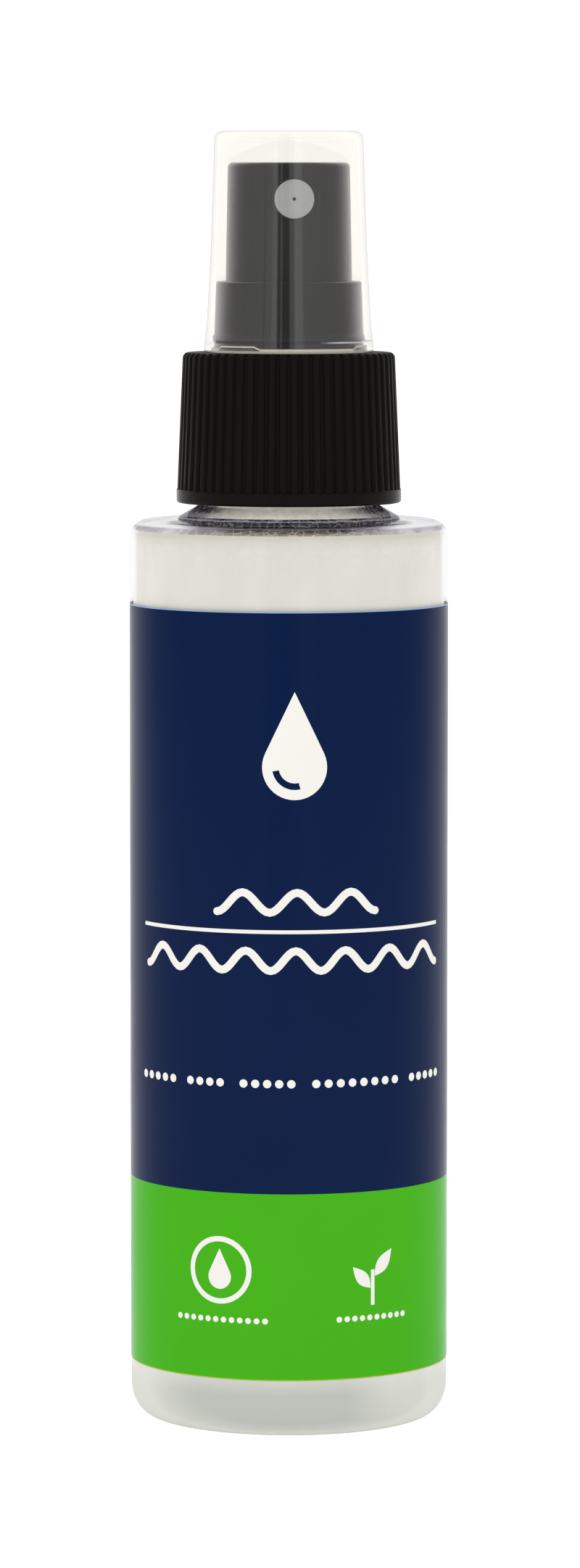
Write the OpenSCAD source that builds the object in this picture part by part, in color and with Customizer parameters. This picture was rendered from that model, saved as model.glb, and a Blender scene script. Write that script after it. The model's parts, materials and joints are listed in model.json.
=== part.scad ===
// Lens cleaning spray: a round clear bottle with a wrap-round label, a ribbed screw closure,
// a fine-mist finger pump and a see-through overcap.
// Millimetres. +Z is up, the origin is the centre of the base's standing ring, and the label's
// front faces -Y. The pump's own pieces stand in the order they stack on the bottle's lip.

/* [Bottle] */
// Outside diameter of the body
body_d = 38.6; // [37.6:0.1:40.6]
// Height of the flat shoulder
shoulder_z = 109.6; // [106:0.1:116]
// Wall thickness of the body
wall = 0.7; // [0.5:0.05:0.9]
// Radius of the edge between base and side
base_r = 3.0; // [2.5:0.1:3.5]
// Radius of the edge between side and shoulder
shoulder_r = 2.0; // [1.6:0.1:2.4]
// Height of the dome pushed up into the base
push_up = 2.6; // [2:0.1:3.2]
// Height of the neck above the shoulder
neck_h = 17.0; // [16.9:0.1:17.4]
// Level of the liquid below the shoulder
head_space = 2.0; // [2:0.5:12]

/* [Label] */
// Height of the label's lower edge
label_z = 7.1; // [5:0.1:12]
// Height of the label
label_h = 92.4; // [70:0.1:92.4]
// Thickness of the film
label_t = 0.08; // [0.06:0.01:0.12]
// Where the film's end overlaps, in degrees round from the front
seam_turn = 128; // [100:1:170]

/* [Closure] */
// Diameter of the smooth band at the foot
band_d = 27.3; // [27:0.1:28]
// Diameter over the ribs at the top
ribs_top_d = 25.7; // [25.6:0.1:26.2]
// Number of ribs
rib_count = 60; // [48:2:72]
// Depth of the grooves between the ribs
rib_depth = 0.3; // [0.2:0.05:0.3]
// Height of the skirt and deck
closure_h = 18.2; // [18:0.1:18.4]
// Height of the collar that guides the actuator
collar_h = 8.6; // [8:0.1:8.8]

/* [Pump] */
// Downward travel of the actuator
stroke = 4.5; // [3.5:0.1:4.5]
// Diameter of the pump's cylinder
cylinder_d = 7.0; // [6.8:0.1:7.2]
// Diameter of the stem
stem_d = 4.0; // [3.8:0.1:4]
// Diameter of the inlet ball
ball_d = 2.5; // [2.3:0.1:2.5]
// Diameter of the spring's wire
wire_d = 0.45; // [0.35:0.05:0.45]
// Coils of the spring, its closed ends included
coils = 6.5; // [5.5:0.5:6.5]
// Outside diameter of the dip tube
tube_d = 3.5; // [3.2:0.1:3.5]

/* [Head] */
// Height of the actuator's top above the closure's deck
actuator_h = 22.9; // [22:0.1:23]
// Direction of the nozzle, in degrees round from the front
nozzle_turn = 5.4; // [-180:0.2:180]
// Diameter of the nozzle insert's face
nozzle_d = 4.8; // [4.4:0.1:4.8]
// Diameter of the spray orifice
orifice_d = 0.4; // [0.3:0.05:0.5]
// Height of the overcap
overcap_h = 26.6; // [26.6:0.1:28]

/* [Hidden] */
$fn = 96;

fit = 0.02;     // radial gap of pieces pressed together
slack = 0.05;   // gap of pieces that run or turn on each other
cut = 1;        // how far a cutter runs past what it cuts

// Bottle
body_r = body_d / 2;
inner_r = body_r - wall;
base_wall = 1.0;
foot_in = 14.0;                         // the standing ring runs from here to the corner's start
foot_out = body_r - base_r;
dome_r = (foot_in * foot_in + push_up * push_up) / (2 * push_up);
dome_z = push_up - dome_r;
flare_r = 13.2;                         // where the neck's flare meets the shoulder
flare_h = 3.1;
neck_r = 10.9;
neck_bore_r = 9.4;
lip_z = shoulder_z + neck_h;
fill_z = shoulder_z - head_space;

// Screw thread of a 24 mm finish: eight threads to the inch
pitch = 25.4 / 8;
thread_r = 11.8;
thread_z = shoulder_z + 8.8;            // middle of the bottle's thread at its lower end
bottle_turns = 1.5;
closure_turns = 1.25;
thread_steps = 48;                      // sections in a turn
lead_in = 0.12;                         // share of a turn over which a thread fades in

// Stack on the lip
gasket_t = 1.0;
flange_t = 0.95;
flange_z = lip_z + gasket_t;
flange_top = flange_z + flange_t;
deck_under = flange_top + slack;
deck_z = deck_under + 1.3;
skirt_z = deck_z - closure_h;

// Closure
band_r = band_d / 2;
band_h = 1.6;
ribs_foot_r = band_r - 0.07;
ribs_top_r = ribs_top_d / 2;
skirt_bore_r = 12.0;
deck_hole_r = 6.25;
collar_r = 9.05;
collar_top_r = 8.8;
collar_bore_r = 7.95;
collar_top = deck_z + collar_h;
foot_ring_r = 9.45;
snap_r = 9.22;

// Pump, from the turret down to the dip tube
stem_r = stem_d / 2;
stem_bore_r = 0.9;
cylinder_r = cylinder_d / 2;
turret_bore_z = flange_top - 8.05;      // ledge that the stem seal lies on
turret_r = 4.65;
piston_top = turret_bore_z - 0.25;
piston_h = 4.7;
piston_z = piston_top - piston_h;
follower_z = piston_z - 1.2;            // underside of the follower's flange, where the spring bears
cage_top = follower_z - 7.9;            // ledge that the spring stands on
cage_r = 1.75;
ball_r = ball_d / 2;
seat_hole_r = 0.8;
seat_slope = 40.8;                      // half angle of the ball's seat
seat_z = cage_top - 3.6;
ball_z = seat_z + (ball_r * cos(seat_slope) - seat_hole_r) / tan(seat_slope)
    + ball_r * sin(seat_slope) + fit;
tube_r = tube_d / 2;
socket_top = seat_z - 1.4;
socket_h = 7.0;
tube_z = 4.5;

// Head
actuator_top = deck_z + actuator_h;
skirt_gap = 0.4;                        // actuator's foot above the deck when it is pressed
actuator_foot = deck_z + skirt_gap + stroke;
actuator_r = 7.7;
actuator_top_r = 7.39;
actuator_wall = 0.9;
boss_r = 3.3;
boss_foot = actuator_foot + 4.2;
stem_top = boss_foot + 5.0;
nozzle_z = actuator_top - 4.4;
nozzle_r = nozzle_d / 2;
nozzle_face = 7.3;                      // how far the insert's face stands from the axis
nozzle_seat = 3.6;                      // floor of the insert's socket
post_r = 1.45;

// Overcap
overcap_z = deck_z + 0.1;
overcap_top = overcap_z + overcap_h;
cap_wall = 0.8;

// Points along an arc about c, from angle a0 to a1
function arc(c, r, a0, a1, n = 9) =
    [for (i = [0:n]) let (a = a0 + (a1 - a0) * i / n) [c[0] + r * cos(a), c[1] + r * sin(a)]];

// A point (radius, height) turned to angle a about Z
function turned(p, a) = [p[0] * cos(a), p[0] * sin(a), p[1]];

// Inside of the bottle from the dome's centre up to the side, shrunk by gap
function inside_outline(gap) = concat(
    arc([0, dome_z], dome_r + base_wall + gap, 90, acos(14.4 / (dome_r + base_wall + gap))),
    arc([foot_out, base_r], base_r - wall - gap, -90, 0)
);

// Sweeps a list of closed sections, each of m points in order, into one solid
module skin(sections, flip = false) {
    m = len(sections[0]);
    n = len(sections);
    sides = [
        for (i = [0:n - 2], j = [0:m - 1])
            let (a = i * m + j, b = i * m + (j + 1) % m) each [[a, b, b + m], [a, b + m, a + m]]
    ];
    ends = [
        for (j = [1:m - 2]) each [[0, j + 1, j], [(n - 1) * m, (n - 1) * m + j, (n - 1) * m + j + 1]]
    ];
    faces = concat(sides, ends);
    polyhedron(
        points = [for (s = sections) each s],
        faces = flip ? [for (f = faces) [f[0], f[2], f[1]]] : faces
    );
}

// A screw thread's ridge that grows out of a wall and fades at both ends
module thread_ridge(root_r, crest_r, root_w, crest_w, z, turns) {
    steps = round(turns * thread_steps);
    sections = [
        for (i = [0:steps])
            let (
                t = i / thread_steps,
                grown = max(0.05, min(1, t / lead_in, (turns - t) / lead_in)),
                crest = root_r + (crest_r - root_r) * grown,
                mid = z + pitch * t
            )
            [
                for (p = [
                    [root_r, mid - root_w / 2], [crest, mid - crest_w / 2],
                    [crest, mid + crest_w / 2], [root_r, mid + root_w / 2]
                ]) turned(p, 360 * t)
            ]
    ];
    skin(sections, crest_r < root_r);
}

// A ring between two radii
module ring(outer_r, hole_r, h) {
    difference() {
        cylinder(r = outer_r, h = h);
        translate([0, 0, -cut]) cylinder(r = hole_r, h = h + 2 * cut);
    }
}

module bottle() {
    outside = concat(
        arc([0, dome_z], dome_r, 90, acos(foot_in / dome_r)),
        arc([foot_out, base_r], base_r, -90, 0),
        arc([body_r - shoulder_r, shoulder_z - shoulder_r], shoulder_r, 0, 90),
        [
            [flare_r, shoulder_z], [neck_r, shoulder_z + flare_h],
            [neck_r, lip_z - 0.4], [neck_r - 0.4, lip_z]
        ]
    );
    inside = concat(
        [
            [neck_bore_r + 0.3, lip_z], [neck_bore_r, lip_z - 0.3],
            [neck_bore_r, shoulder_z + 2.2], [flare_r - 1.1, shoulder_z - wall]
        ],
        arc([body_r - shoulder_r, shoulder_z - shoulder_r], shoulder_r - wall, 90, 0)
    );
    base = inside_outline(0);
    color("whitesmoke", 0.4) union() {
        rotate_extrude()
            polygon(concat(outside, inside, [for (i = [len(base) - 1:-1:0]) base[i]]));
        thread_ridge(neck_r - 0.3, thread_r, 2.3, 0.9, thread_z, bottle_turns);
    }
}

module label() {
    overlap = 9; // degrees
    color("midnightblue") union() {
        translate([0, 0, label_z]) ring(body_r + fit + label_t, body_r + fit, label_h);
        rotate([0, 0, seam_turn - 90]) rotate_extrude(angle = overlap)
            translate([body_r + fit + label_t / 2, label_z]) square([label_t, label_h]);
    }
}

// The liquid leaves a channel for the pump and dip tube to draw up through
module liquid() {
    color("ivory", 0.6) difference() {
        rotate_extrude()
            polygon(concat(inside_outline(slack), [[inner_r - slack, fill_z], [0, fill_z]]));
        translate([0, 0, tube_z - 0.3]) cylinder(r = tube_r + 0.1, h = fill_z);
        translate([0, 0, socket_top - socket_h - 0.2]) cylinder(r = tube_r + 1.1, h = fill_z);
        translate([0, 0, socket_top - 0.2]) cylinder(r = cylinder_r + 1.0, h = fill_z);
    }
}

module dip_tube() {
    color("white", 0.7) difference() {
        translate([0, 0, tube_z]) ring(tube_r, tube_r - 0.55, socket_top - 0.1 - tube_z);
        // slanted end, so that the tube can't seal against the base
        translate([-tube_r, 0, tube_z]) rotate([0, 40, 0])
            translate([-10, -5, -10]) cube([20, 10, 10]);
    }
}

module pump_housing() {
    bore_top = flange_top + cut;
    color("ghostwhite") union() {
        difference() {
            rotate_extrude() polygon([
                [0, socket_top - socket_h], [tube_r + 0.75, socket_top - socket_h],
                [tube_r + 1.0, socket_top], [cylinder_r + 0.3, seat_z + 1.2],
                [cylinder_r + 0.9, cage_top - 1], [cylinder_r + 0.9, turret_bore_z - 2],
                [turret_r + 1.0, turret_bore_z - 0.6], [turret_r + 1.0, flange_z],
                [neck_r + 0.4, flange_z], [neck_r + 0.4, flange_top], [0, flange_top]
            ]);
            // bore for the turret, with the groove that its bead snaps into
            translate([0, 0, turret_bore_z]) cylinder(r = turret_r + slack, h = bore_top);
            translate([0, 0, turret_bore_z + 3]) cylinder(r = turret_r + 0.3, h = 1.2);
            // cylinder, ball cage, seat and inlet
            translate([0, 0, cage_top]) cylinder(r = cylinder_r, h = bore_top);
            translate([0, 0, seat_z]) cylinder(r = cage_r, h = bore_top);
            translate([0, 0, socket_top - cut]) cylinder(r = seat_hole_r, h = bore_top);
            // socket of the dip tube
            translate([0, 0, socket_top - socket_h - cut])
                cylinder(r = tube_r + fit, h = socket_h + cut);
            // vent that lets air into the bottle while the piston is down
            translate([0, 0, piston_top - 1]) rotate([0, 90, 0]) cylinder(r = 0.4, h = 10);
        }
        ball_seat();
        for (i = [0:2]) rotate([0, 0, 120 * i]) cage_rib();
    }
}

// Cone that the inlet ball closes on
module ball_seat() {
    seat_h = (cage_r - seat_hole_r) / tan(seat_slope);
    translate([0, 0, seat_z]) difference() {
        cylinder(r = cage_r + 0.3, h = seat_h);
        translate([0, 0, -seat_hole_r]) cylinder(
            r1 = seat_hole_r - seat_hole_r * tan(seat_slope),
            r2 = seat_hole_r + (seat_h + cut) * tan(seat_slope),
            h = seat_h + cut + seat_hole_r
        );
        translate([0, 0, -cut]) cylinder(r = seat_hole_r, h = 2 * cut);
    }
}

// Rib over the ball, which keeps it in its cage and lets the liquid past
module cage_rib() {
    translate([ball_r - 0.3, -0.3, cage_top - 0.6]) cube([cage_r - ball_r + 0.6, 0.6, 0.6]);
}

module inlet_ball() {
    color("silver") translate([0, 0, ball_z]) sphere(r = ball_r);
}

module return_spring() {
    mean_r = 2.45;
    spring_h = follower_z - cage_top - 2 * fit;
    steps = 24;
    closed = 1; // turns at each end that lie on their neighbour
    open_pitch = (spring_h - wire_d * (1 + 2 * closed)) / (coils - 2 * closed);
    function rise(t) = wire_d * (min(t, closed) + max(0, t - coils + closed))
        + open_pitch * max(0, min(t, coils - closed) - closed);
    color("silver") translate([0, 0, cage_top + fit + wire_d / 2]) skin([
        for (i = [0:coils * steps])
            let (t = i / steps)
            [for (p = arc([mean_r, rise(t)], wire_d / 2 - fit / 2, 0, 315, 7)) turned(p, 360 * t)]
    ]);
}

module spring_follower() {
    color("white") rotate_extrude() polygon([
        [0, follower_z - 3.4], [1.2, follower_z - 3.4], [1.5, follower_z - 3.0],
        [1.5, follower_z], [2.75, follower_z], [2.75, piston_z - slack - 0.5],
        [stem_r, piston_z - slack], [stem_r, piston_z + 0.4], [stem_bore_r - fit, piston_z + 0.4],
        [stem_bore_r - fit, piston_z + 3.2], [0, piston_z + 3.2]
    ]);
}

// Cup seal: thin lips above and below a narrow waist
module piston() {
    lip_r = cylinder_r - fit;
    waist_r = cylinder_r - 0.55;
    color("aliceblue") rotate_extrude() polygon([
        [stem_r + slack, piston_z], [stem_r + 0.7, piston_z], [waist_r, piston_z + 1.3],
        [lip_r - 0.25, piston_z + 0.3], [lip_r, piston_z + 0.3], [lip_r, piston_z + 0.9],
        [waist_r, piston_z + 1.9], [waist_r, piston_top - 1.6], [lip_r, piston_top - 0.7],
        [lip_r, piston_top], [lip_r - 0.3, piston_top], [waist_r - 0.2, piston_top - 1.1],
        [stem_r + 0.6, piston_top - 0.8], [stem_r + 0.6, piston_top], [stem_r + slack, piston_top]
    ]);
}

module stem() {
    port_z = piston_z + 3.9; // cross hole above the follower's spigot
    foot_z = piston_z + 0.4 + fit;
    color("white") difference() {
        translate([0, 0, foot_z]) ring(stem_r, stem_bore_r, stem_top - foot_z);
        translate([0, 0, port_z]) rotate([90, 0, 0]) cylinder(r = 0.45, h = 10, center = true);
    }
}

module stem_seal() {
    color("lightgray") translate([0, 0, turret_bore_z + fit])
        ring(turret_r - fit, stem_r + slack, 0.8);
}

// Guides the stem, and holds the closure's deck between its bead and the housing's flange
module turret() {
    foot_z = turret_bore_z + 0.8 + 2 * fit;
    bore_r = stem_r + slack;
    snap_z = turret_bore_z + 3.3;
    color("dimgray") rotate_extrude() polygon([
        [bore_r, foot_z], [turret_r, foot_z], [turret_r, snap_z], [turret_r + 0.22, snap_z + 0.3],
        [turret_r, snap_z + 0.6], [turret_r, flange_top + fit],
        [deck_hole_r - 0.1, flange_top + fit], [deck_hole_r - 0.1, deck_z + slack],
        [deck_hole_r + 0.35, deck_z + slack], [deck_hole_r + 0.15, deck_z + 0.6],
        [bore_r + 1.6, deck_z + 1.35], [bore_r, deck_z + 1.35]
    ]);
}

module neck_gasket() {
    color("gainsboro") translate([0, 0, lip_z + fit / 2])
        ring(neck_r + 0.3, turret_r + 1.3, gasket_t - fit);
}

module closure() {
    draft = atan((ribs_foot_r - ribs_top_r) / (closure_h - band_h - 0.7));
    color([0.07, 0.065, 0.06]) union() {
        difference() {
            closure_shell();
            for (i = [0:rib_count - 1]) rotate([0, 0, 360 / rib_count * (i + 0.5)]) groove(draft);
        }
        thread_ridge(skirt_bore_r + 0.3, 11.2, 2.2, 0.8, thread_z - pitch / 2, closure_turns);
        for (i = [0:2]) rotate([0, 0, 120 * i - 145]) cap_stop();
    }
}

// Groove between two grip ribs, leaning in with the skirt's draft
module groove(draft) {
    floor_w = 0.3;
    mouth_w = 0.7;
    translate([ribs_foot_r, 0, skirt_z + band_h - 0.05]) rotate([0, -draft, 0])
        linear_extrude(height = closure_h - band_h - 0.8) polygon([
            [-rib_depth, -floor_w / 2], [rib_depth, -mouth_w], [rib_depth, mouth_w],
            [-rib_depth, floor_w / 2]
        ]);
}

// Skirt, deck and collar: the overcap grips the collar, and the actuator slides in it
module closure_shell() {
    round_r = 0.7;
    rotate_extrude() polygon(concat(
        [
            [skirt_bore_r, skirt_z], [band_r - 0.3, skirt_z], [band_r, skirt_z + 0.3],
            [band_r, skirt_z + band_h - 0.1], [ribs_foot_r, skirt_z + band_h]
        ],
        arc([ribs_top_r - round_r, deck_z - round_r], round_r, 0, 90, 6),
        [
            [foot_ring_r, deck_z], [foot_ring_r, deck_z + 0.65], [collar_r, deck_z + 0.65],
            [collar_r, deck_z + 1.3], [snap_r, deck_z + 1.5], [snap_r, deck_z + 1.9],
            [collar_r - 0.02, deck_z + 2.3]
        ],
        arc([collar_top_r - 0.35, collar_top - 0.35], 0.35, 0, 90, 4),
        arc([collar_bore_r + 0.25, collar_top - 0.25], 0.25, 90, 180, 4),
        [
            [collar_bore_r, deck_z], [deck_hole_r, deck_z], [deck_hole_r, deck_under],
            [skirt_bore_r, deck_under]
        ]
    ));
}

// Low stop on the foot ring, with stepped ends
module cap_stop() {
    for (layer = [[12, 0.1, 0.2], [8, 0.06, 0.4]])
        rotate([0, 0, -layer[0]]) rotate_extrude(angle = 2 * layer[0])
            translate([collar_r - 0.3 + layer[1], deck_z + 0.3 + layer[1]])
                square([0.66 - 2 * layer[1], 0.35 + layer[2]]);
}

// Everything in the head that points the way the nozzle does is drawn along -Y
module toward_nozzle(distance, r, h) {
    translate([0, -distance, nozzle_z]) rotate([-90, 0, 0]) cylinder(r = r, h = h);
}

module actuator() {
    dish = 0.5;
    top_under = actuator_top - 1.4;
    top_r = actuator_top_r;
    color([0.07, 0.065, 0.06]) rotate([0, 0, nozzle_turn]) difference() {
        union() {
            rotate_extrude() polygon(concat(
                [
                    [actuator_r - actuator_wall, actuator_foot], [actuator_r, actuator_foot],
                    [actuator_r, actuator_foot + 1.5]
                ],
                arc([top_r - 0.6, actuator_top - 0.6], 0.6, 0, 90, 6),
                [
                    [top_r - 1.5, actuator_top], [top_r - 3.2, actuator_top - 0.7 * dish],
                    [0, actuator_top - dish], [0, top_under],
                    [top_r - actuator_wall, top_under]
                ]
            ));
            // boss on the stem, the nozzle's housing, and gussets out to the wall
            translate([0, 0, boss_foot]) cylinder(r = boss_r, h = top_under + 0.2 - boss_foot);
            intersection() {
                toward_nozzle(actuator_top_r + 1, nozzle_r + 0.8, actuator_top_r);
                cylinder(r = actuator_top_r - 0.3, h = actuator_top);
            }
            for (a = [0, 90, 180])
                rotate([0, 0, a]) translate([0, -0.4, top_under - 4])
                    cube([actuator_top_r - 0.4, 0.8, 4.2]);
        }
        // socket of the stem, riser, and passage to the nozzle's socket
        translate([0, 0, boss_foot - cut]) cylinder(r = stem_r + fit, h = stem_top + fit - boss_foot + cut);
        translate([0, 0, stem_top]) cylinder(r = stem_bore_r, h = nozzle_z + 2.4 - stem_top);
        translate([0, 0, 1.9]) toward_nozzle(nozzle_seat + 0.2, 0.45, nozzle_seat + 0.2);
        // the insert's socket, round the post that it closes on
        difference() {
            toward_nozzle(actuator_r + cut, nozzle_r + fit, actuator_r + cut - nozzle_seat);
            toward_nozzle(nozzle_face - 1.05, post_r, nozzle_face - 1.05);
        }
        toward_nozzle(actuator_r + cut, nozzle_r + 0.35, actuator_r + cut - 7.12);
    }
}

// Cup with a swirl chamber behind the orifice, fed by three slots that miss its centre
module nozzle_insert() {
    back = nozzle_seat + 0.35;
    color("silver") rotate([0, 0, nozzle_turn]) difference() {
        union() {
            toward_nozzle(nozzle_face - 0.15, nozzle_r, nozzle_face - 0.15 - back);
            toward_nozzle(nozzle_face, nozzle_r - 0.12, 1);
        }
        toward_nozzle(nozzle_face - 1, post_r + slack, nozzle_face);
        toward_nozzle(nozzle_face - 0.8, 0.55, 1);
        toward_nozzle(nozzle_face + cut, orifice_d / 2, 2 * cut);
        toward_nozzle(nozzle_face + cut, 0.45, cut + 0.15);
        translate([0, -nozzle_face + 1, nozzle_z]) for (a = [0, 120, 240])
            rotate([0, a, 0]) translate([0, -0.2, 0.25]) cube([post_r, 0.4, 0.3]);
    }
}

module overcap() {
    foot_r = 10.3;
    shoulder = overcap_z + 4.0;
    side_r = 9.92;      // where the flared foot ends
    mid_r = 9.5;
    mid_z = overcap_z + 12.0;
    top_r = 9.0;
    round_r = 0.8;
    color("ivory", 0.35) rotate_extrude() polygon(concat(
        [
            [9.5, overcap_z], [foot_r, overcap_z], [foot_r, overcap_z + 0.5],
            [side_r, shoulder], [mid_r, mid_z]
        ],
        arc([top_r - round_r, overcap_top - round_r], round_r, 0, 90, 8),
        [[0, overcap_top], [0, overcap_top - 0.9]],
        arc([top_r - cap_wall - 0.5, overcap_top - 0.9 - 0.5], 0.5, 90, 0, 6),
        [
            [mid_r - cap_wall, mid_z], [side_r - cap_wall, shoulder],
            [side_r - cap_wall, overcap_z + 2.6], [9.5, overcap_z + 2.4]
        ]
    ));
}

bottle();
label();
liquid();
dip_tube();
pump_housing();
inlet_ball();
return_spring();
spring_follower();
piston();
stem();
stem_seal();
turret();
neck_gasket();
closure();
actuator();
nozzle_insert();
overcap();
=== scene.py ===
"""Looks of a lens cleaning spray: clear bottle, printed label, cloudy liquid, pump and overcap.

Outlines are (radius, height) in millimetres on the CAD frame's own axis; meshes are made in metres.
"""

import json
import math
import random

import bmesh
import bpy
from mathutils import Matrix, Vector


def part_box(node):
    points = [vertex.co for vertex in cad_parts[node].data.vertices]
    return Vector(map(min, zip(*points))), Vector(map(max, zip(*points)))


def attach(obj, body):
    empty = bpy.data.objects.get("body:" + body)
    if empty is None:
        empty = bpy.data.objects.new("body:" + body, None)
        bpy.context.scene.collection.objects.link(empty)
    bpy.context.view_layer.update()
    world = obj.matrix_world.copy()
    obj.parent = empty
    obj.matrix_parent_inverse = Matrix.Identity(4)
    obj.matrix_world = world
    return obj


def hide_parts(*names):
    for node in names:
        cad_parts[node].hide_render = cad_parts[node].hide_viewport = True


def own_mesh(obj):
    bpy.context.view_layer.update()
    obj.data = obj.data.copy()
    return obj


MM = 0.001
ROUND = 160  # columns round a turned piece
SHARP = 35  # degrees between faces above which an edge stays sharp
GAP = 0.04  # between the bottle's wall and what lies against it
THREAD_PITCH = 25.4 / 8  # eight threads to the inch
SEEN_WHITE = 1.16  # brightness of the floor and backdrop as the camera sees them

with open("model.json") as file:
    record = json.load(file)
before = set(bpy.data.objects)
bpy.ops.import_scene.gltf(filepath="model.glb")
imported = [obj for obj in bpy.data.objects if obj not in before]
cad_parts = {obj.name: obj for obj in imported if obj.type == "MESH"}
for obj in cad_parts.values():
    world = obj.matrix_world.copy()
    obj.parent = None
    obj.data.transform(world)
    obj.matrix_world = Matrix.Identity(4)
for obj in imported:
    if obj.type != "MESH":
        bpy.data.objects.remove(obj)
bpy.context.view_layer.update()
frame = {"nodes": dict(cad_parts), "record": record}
nodes = frame["nodes"]


# ---------------------------------------------------------------- sizes from the frame, in mm


def span(node):
    """(lowest, highest) corner of a CAD node in millimetres."""
    low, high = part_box(node)
    return low / MM, high / MM


bottle_high = span("bottle")[1]
label_low, label_high = span("label")
closure_low, closure_high = span("closure")
actuator_low, actuator_high = span("actuator")
overcap_low, overcap_high = span("overcap")
spring_low, spring_high = span("return_spring")
nozzle_low, nozzle_high = span("nozzle_insert")

body_r = bottle_high.x
wall = 0.35  # the clear wall looks thinner than it is, because it magnifies what is behind it
lip_z = bottle_high.z
shoulder_z = lip_z - 17.0  # the neck's height
thread_z = shoulder_z + 8.8
foam_z = span("liquid")[1].z + 0.85  # fine foam stands on the liquid
heel = (16.4, 4.0)  # centre of the curve between the base and the side
edge_r = 2.0  # the shoulder's round edge
edge_centre = (body_r - edge_r, shoulder_z - edge_r)
label_r = label_high.x - 0.03  # the print stays within the film's thickness
ink_split_z = 29.7  # where the green band meets the dark blue
deck_z = overcap_low.z - 0.1  # the overcap's foot just clears the closure's deck
collar_top = closure_high.z
nozzle_z = (nozzle_low.z + nozzle_high.z) / 2
nozzle_r = (nozzle_high.z - nozzle_low.z) / 2
nozzle_turn = math.atan2(nozzle_high.x + nozzle_low.x, -nozzle_high.y - nozzle_low.y)


# ---------------------------------------------------------------- mesh helpers


def arc(centre, radius, start, end, steps=8, squeeze=1.0):
    """Points on an arc from angle start to end, in degrees; squeeze scales it across the axis."""
    x, z = centre
    turns = [math.radians(start + (end - start) * i / steps) for i in range(steps + 1)]
    return [(x + squeeze * radius * math.cos(t), z + radius * math.sin(t)) for t in turns]


def rounded(corners, steps=5):
    """Closed outline through corners (radius, height) or (radius, height, fillet)."""
    outline = []
    for i, (x, z, *fillet) in enumerate(corners):
        here = Vector((x, z))
        if not fillet:
            outline.append((x, z))
            continue
        fillet = fillet[0]
        before = (Vector(corners[i - 1][:2]) - here).normalized()
        after = (Vector(corners[(i + 1) % len(corners)][:2]) - here).normalized()
        half = before.angle(after) / 2
        centre = here + (before + after).normalized() * fillet / math.sin(half)
        first = here + before * fillet / math.tan(half) - centre
        turn = math.atan2(*reversed(first))
        last = here + after * fillet / math.tan(half) - centre
        swing = (math.atan2(*reversed(last)) - turn + math.pi) % (2 * math.pi) - math.pi
        for k in range(steps + 1):
            a = turn + swing * k / steps
            outline.append((centre.x + fillet * math.cos(a), centre.y + fillet * math.sin(a)))
    return outline


def smooth(mesh, sharp=SHARP):
    """Smooth shading that keeps the sharp edges."""
    mesh.shade_smooth()
    mesh.set_sharp_from_angle(angle=math.radians(sharp))


def in_order(faces):
    """Corners of some faces by index, each from its lowest, in the same order on every run."""
    rows = [[v.index for v in face.verts] for face in faces]
    return sorted(row[row.index(min(row)):] + row[:row.index(min(row))] for row in rows)


def in_scene(name, data):
    """A new object of some data, linked into the scene."""
    thing = bpy.data.objects.new(name, data)
    bpy.context.scene.collection.objects.link(thing)
    return thing


def riding(name, mesh, body):
    """A new piece that rides on a body."""
    thing = in_scene(name, mesh)
    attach(thing, body)
    return thing


def piece(name, vertices, faces, body, slot, sharp=SHARP):
    """A closed mesh in metres, from vertices in mm, that rides on a body."""
    mesh = bpy.data.meshes.new(name)
    mesh.from_pydata([Vector(v) * MM for v in vertices], [], faces)
    bm = bmesh.new()
    bm.from_mesh(mesh)
    bmesh.ops.recalc_face_normals(bm, faces=bm.faces)
    bm.to_mesh(mesh)
    bm.free()
    smooth(mesh, sharp)
    return riding(name, mesh, body)


def swept_rings(rings):
    """Vertices and faces of a closed skin over a loop of rings; a ring of one point is a pole."""
    vertices, index, faces = [], [], []
    count = max(len(ring) for ring in rings)
    for ring in rings:
        first = len(vertices)
        vertices += ring
        index.append([first + (j if len(ring) > 1 else 0) for j in range(count)])
    for here, after in zip(index, index[1:] + index[:1]):
        for j in range(count):
            k = (j + 1) % count
            corners = dict.fromkeys((here[j], here[k], after[k], after[j]))
            if len(corners) > 2:
                faces.append(tuple(corners))
    return vertices, faces


def revolve(name, outline, body, slot, turns=None, carve=None, sharp=SHARP):
    """Turns a closed outline round Z. carve(turn, radius, height) may change a radius."""
    turns = turns or [2 * math.pi * i / ROUND for i in range(ROUND)]
    rings = []
    for r, z in outline:
        if r < 1e-6:
            rings.append([(0, 0, z)])
            continue
        radii = [carve(t, r, z) if carve else r for t in turns]
        rings.append([(q * math.cos(t), q * math.sin(t), z) for q, t in zip(radii, turns)])
    return piece(name, *swept_rings(rings), body, slot, sharp)


def sweep(name, sections, body, slot, sharp=SHARP):
    """Closed skin over a row of closed sections, capped at both ends."""
    count = len(sections[0])
    vertices = [p for section in sections for p in section]
    faces = []
    for here in range(0, len(vertices) - count, count):
        after = here + count
        for j in range(count):
            k = (j + 1) % count
            faces.append((here + j, here + k, after + k, after + j))
    faces += [tuple(range(count)), tuple(range(len(vertices) - count, len(vertices)))]
    return piece(name, vertices, faces, body, slot, sharp)


def finished(thing):
    """Applies a piece's modifiers to its mesh."""
    bpy.context.view_layer.update()
    graph = bpy.context.evaluated_depsgraph_get()
    mesh = bpy.data.meshes.new_from_object(thing.evaluated_get(graph))
    thing.modifiers.clear()
    thing.data = mesh
    smooth(mesh)


def combine(thing, tool, operation):
    """Changes a piece by a UNION with a tool or a DIFFERENCE from it, and removes the tool."""
    modifier = thing.modifiers.new("combine", "BOOLEAN")
    modifier.operation = operation
    modifier.solver = "EXACT"
    modifier.object = tool
    finished(thing)
    bpy.data.objects.remove(tool)


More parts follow.
